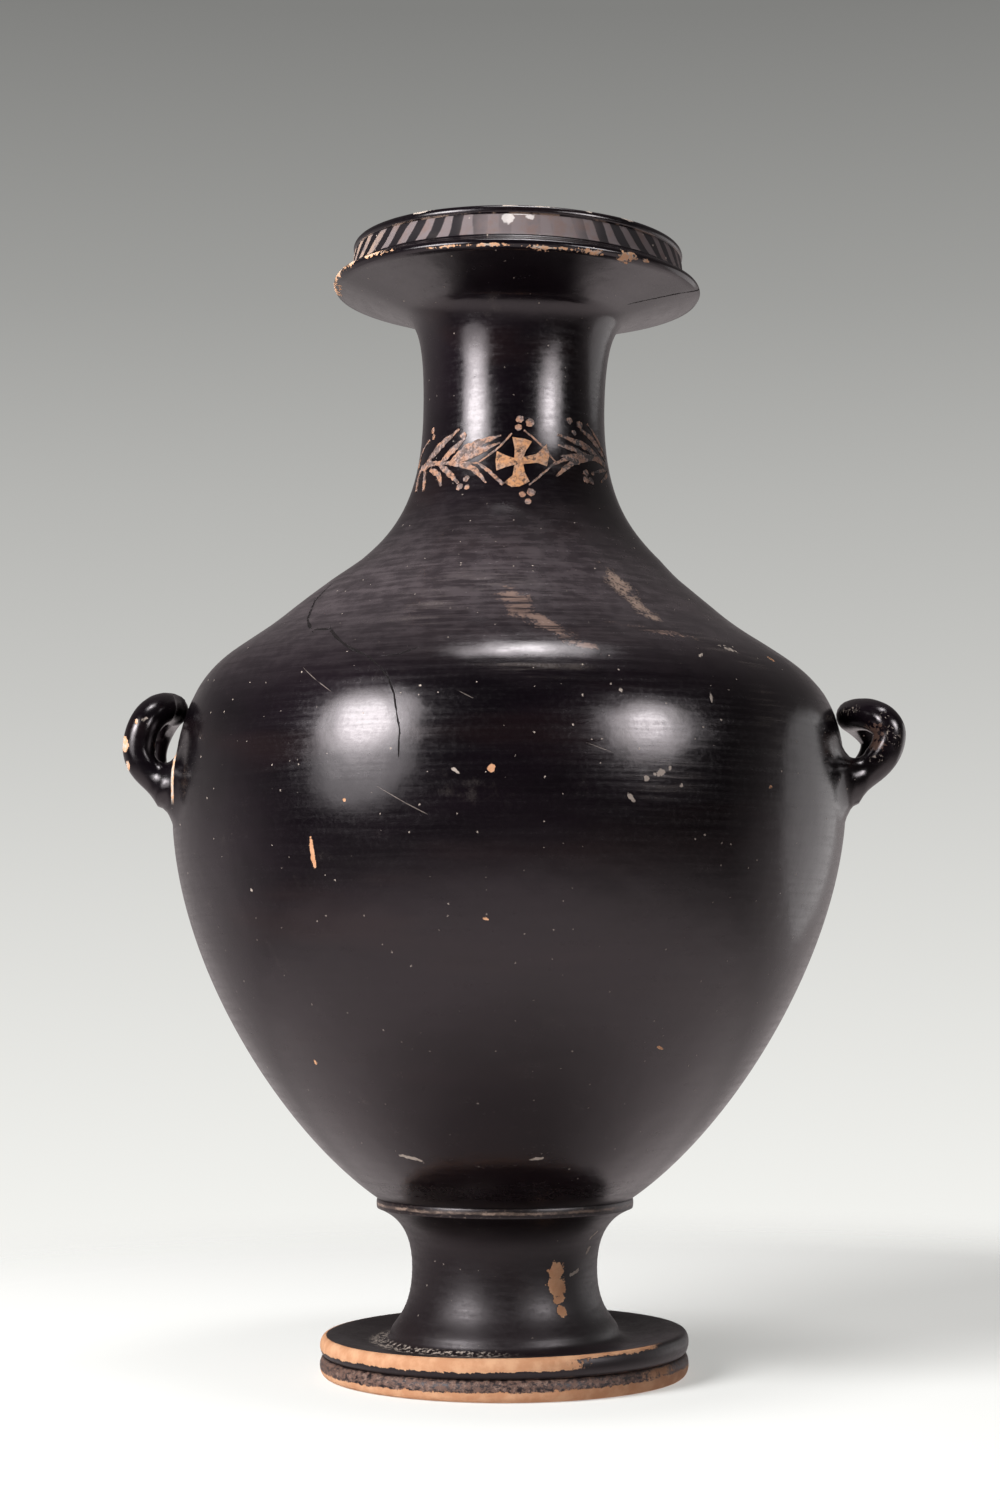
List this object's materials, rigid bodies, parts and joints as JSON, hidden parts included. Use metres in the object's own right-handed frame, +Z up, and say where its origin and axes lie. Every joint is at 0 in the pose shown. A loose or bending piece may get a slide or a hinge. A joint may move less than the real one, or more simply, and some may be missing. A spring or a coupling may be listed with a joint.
{
  "type": "hydria",
  "caption": "Black-glazed water jar on a disc foot, with side handles, an upright back handle and a wide dished mouth.",
  "frame": {"origin": "centre of the jar's footprint box, on the surface that it stands on", "axes": "+Z up along the jar's height; the painted front faces -Y, the upright handle stands at +Y and the side handles at -X and +X"},
  "size_m": [0.3162, 0.2738, 0.4613],
  "materials": {
    "black_glazed_clay": "glossy black gloss slip over orange fired clay, worn to the clay at the edges"
  },
  "bodies": {
    "root": {"hydria": "black_glazed_clay"}
  },
  "joints": []
}
